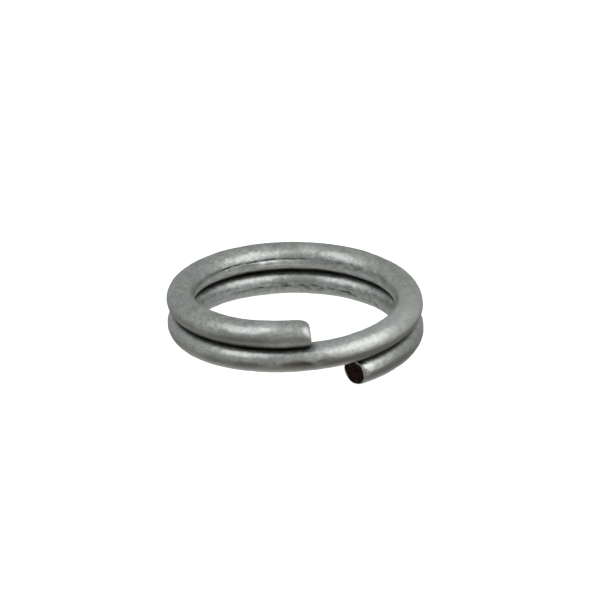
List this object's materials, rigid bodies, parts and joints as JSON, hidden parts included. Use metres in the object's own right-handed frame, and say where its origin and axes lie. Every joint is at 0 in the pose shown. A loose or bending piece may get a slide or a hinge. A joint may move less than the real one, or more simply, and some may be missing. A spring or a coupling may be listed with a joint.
{
  "type": "split key ring",
  "caption": "Split key ring of sprung plated-steel wire, wound in touching coils whose cut ends prise apart to take a key and spring shut behind it.",
  "frame": {"origin": "Middle of the coil: on the coil's mean axis, midway between the two cut ends in height.", "axes": "+Z is the coil's axis and points to the side where the upper cut end is. -Y points from the axis towards the upper cut end. The wire goes down clockwise, seen from +Z."},
  "size_m": [0.015, 0.0155, 0.0048],
  "materials": {
    "plated_wire": "satin grey plating over drawn spring steel, faintly mottled, with die lines along the wire"
  },
  "bodies": {
    "upper_tip": {"upper_tip": "plated_wire"},
    "upper_coil_left": {"upper_coil_left": "plated_wire"},
    "upper_coil_back_left": {"upper_coil_back_left": "plated_wire"},
    "upper_coil_back": {"upper_coil_back": "plated_wire"},
    "upper_coil_back_right": {"upper_coil_back_right": "plated_wire"},
    "upper_coil_right": {"upper_coil_right": "plated_wire"},
    "crossover": {"crossover": "plated_wire"},
    "lower_coil_front_left": {"lower_coil_front_left": "plated_wire"},
    "lower_coil_left": {"lower_coil_left": "plated_wire"},
    "lower_coil_back_left": {"lower_coil_back_left": "plated_wire"},
    "lower_coil_back": {"lower_coil_back": "plated_wire"},
    "lower_coil_right": {"lower_coil_right": "plated_wire"},
    "lower_tip": {"lower_tip": "plated_wire"}
  },
  "joints": [
    {"name": "upper_tip_flex", "type": "hinge", "parent": "upper_coil_left", "child": "upper_tip", "pos_m": [-0.00482, -0.00488, 0.00135], "axis": [-0.206, -0.9783, 0.0212], "range_deg": [0, 1.32], "stiffness_Nm_per_rad": 0.0103},
    {"name": "upper_coil_left_flex", "type": "hinge", "parent": "upper_coil_back_left", "child": "upper_coil_left", "pos_m": [-0.00659, 0.00094, 0.00111], "axis": [-0.6275, -0.7779, 0.0335], "range_deg": [0, 2.66], "stiffness_Nm_per_rad": 0.00913},
    {"name": "upper_coil_back_left_flex", "type": "hinge", "parent": "upper_coil_back", "child": "upper_coil_back_left", "pos_m": [-0.00297, 0.00583, 0.00086], "axis": [-0.942, -0.3334, 0.0388], "range_deg": [0, 3.5], "stiffness_Nm_per_rad": 0.00856},
    {"name": "upper_coil_back_flex", "type": "hinge", "parent": "upper_coil_back_right", "child": "upper_coil_back", "pos_m": [0.00306, 0.00583, 0.00062], "axis": [-0.8912, 0.452, 0.0394], "range_deg": [0, 3.25], "stiffness_Nm_per_rad": 0.00852},
    {"name": "upper_coil_back_right_flex", "type": "hinge", "parent": "upper_coil_right", "child": "upper_coil_back_right", "pos_m": [0.0066, 0.00098, 0.00037], "axis": [-0.1581, 0.9866, 0.0395], "range_deg": [0, 1.83], "stiffness_Nm_per_rad": 0.00852},
    {"name": "upper_coil_right_flex", "type": "hinge", "parent": "crossover", "child": "upper_coil_right", "pos_m": [0.00476, -0.00472, 0.00012], "axis": [0.706, 0.7072, 0.0395], "range_deg": [0, 0.377], "stiffness_Nm_per_rad": 0.00852},
    {"name": "lower_coil_front_left_flex", "type": "hinge", "parent": "crossover", "child": "lower_coil_front_left", "pos_m": [-0.00097, -0.00659, -0.00012], "axis": [-0.9876, 0.1522, -0.0392], "range_deg": [0, 0.377], "stiffness_Nm_per_rad": 0.00852},
    {"name": "lower_coil_left_flex", "type": "hinge", "parent": "lower_coil_front_left", "child": "lower_coil_left", "pos_m": [-0.0059, -0.00307, -0.00037], "axis": [-0.4655, 0.8842, -0.039], "range_deg": [0, 1.83], "stiffness_Nm_per_rad": 0.00852},
    {"name": "lower_coil_back_left_flex", "type": "hinge", "parent": "lower_coil_left", "child": "lower_coil_back_left", "pos_m": [-0.00602, 0.00302, -0.00062], "axis": [0.431, 0.9015, -0.039], "range_deg": [0, 3.25], "stiffness_Nm_per_rad": 0.00852},
    {"name": "lower_coil_back_flex", "type": "hinge", "parent": "lower_coil_back_left", "child": "lower_coil_back", "pos_m": [-0.00123, 0.00673, -0.00086], "axis": [0.9488, 0.3136, -0.0388], "range_deg": [0, 3.5], "stiffness_Nm_per_rad": 0.00856},
    {"name": "lower_coil_right_flex", "type": "hinge", "parent": "lower_coil_back", "child": "lower_coil_right", "pos_m": [0.00457, 0.00509, -0.00111], "axis": [0.9734, -0.2265, -0.0346], "range_deg": [0, 2.66], "stiffness_Nm_per_rad": 0.00913},
    {"name": "lower_tip_flex", "type": "hinge", "parent": "lower_coil_right", "child": "lower_tip", "pos_m": [0.00664, -0.00054, -0.00135], "axis": [0.7811, -0.6241, -0.0221], "range_deg": [0, 1.32], "stiffness_Nm_per_rad": 0.0103}
  ],
  "couplings": [
    {"joint": "upper_tip_flex", "follows": "upper_coil_back_left_flex", "ratio": 0.37823},
    {"joint": "upper_coil_left_flex", "follows": "upper_coil_back_left_flex", "ratio": 0.76044},
    {"joint": "upper_coil_back_flex", "follows": "upper_coil_back_left_flex", "ratio": 0.92842},
    {"joint": "upper_coil_back_right_flex", "follows": "upper_coil_back_left_flex", "ratio": 0.5234},
    {"joint": "upper_coil_right_flex", "follows": "upper_coil_back_left_flex", "ratio": 0.10721},
    {"joint": "lower_coil_front_left_flex", "follows": "lower_coil_back_flex", "ratio": 0.10721},
    {"joint": "lower_coil_left_flex", "follows": "lower_coil_back_flex", "ratio": 0.5234},
    {"joint": "lower_coil_back_left_flex", "follows": "lower_coil_back_flex", "ratio": 0.92842},
    {"joint": "lower_coil_right_flex", "follows": "lower_coil_back_flex", "ratio": 0.76044},
    {"joint": "lower_tip_flex", "follows": "lower_coil_back_flex", "ratio": 0.37823}
  ]
}
